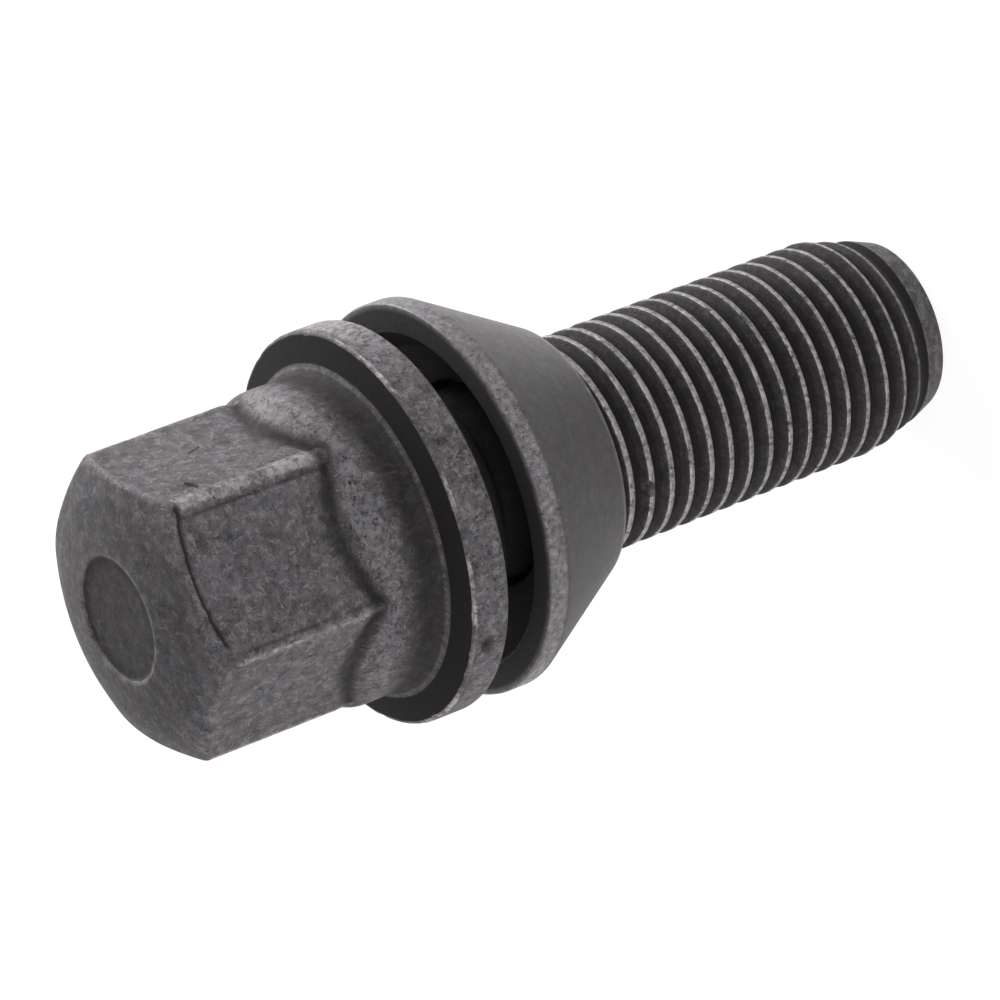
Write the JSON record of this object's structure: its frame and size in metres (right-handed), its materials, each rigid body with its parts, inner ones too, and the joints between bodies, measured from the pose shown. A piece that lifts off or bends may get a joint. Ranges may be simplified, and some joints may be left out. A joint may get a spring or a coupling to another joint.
{
  "type": "wheel bolt",
  "caption": "Wheel bolt with a domed hexagon head, round collar and flange, a loose tapered seat ring on a ball seat, a fine right-hand thread and a plain pilot tip.",
  "frame": {"origin": "centre of the flat end of the pilot, which the bolt stands on", "axes": "+Z along the bolt's axis from the pilot to the head; two corners of the hexagon on the X axis"},
  "size_m": [0.0248, 0.0248, 0.0575],
  "materials": {
    "bolt_steel": "black phosphate on forged steel, satin, worn pale on edges and thread crests",
    "ring_steel": "black phosphate on turned steel, satin, worn grey on the taper and rim"
  },
  "bodies": {
    "bolt": {"bolt": "bolt_steel"},
    "seat_ring": {"seat_ring": "ring_steel"}
  },
  "joints": [
    {"name": "ring_slide", "type": "slide", "parent": "bolt", "child": "seat_ring", "axis": [0, 0, 1], "range_m": [0, 0.0023]}
  ]
}
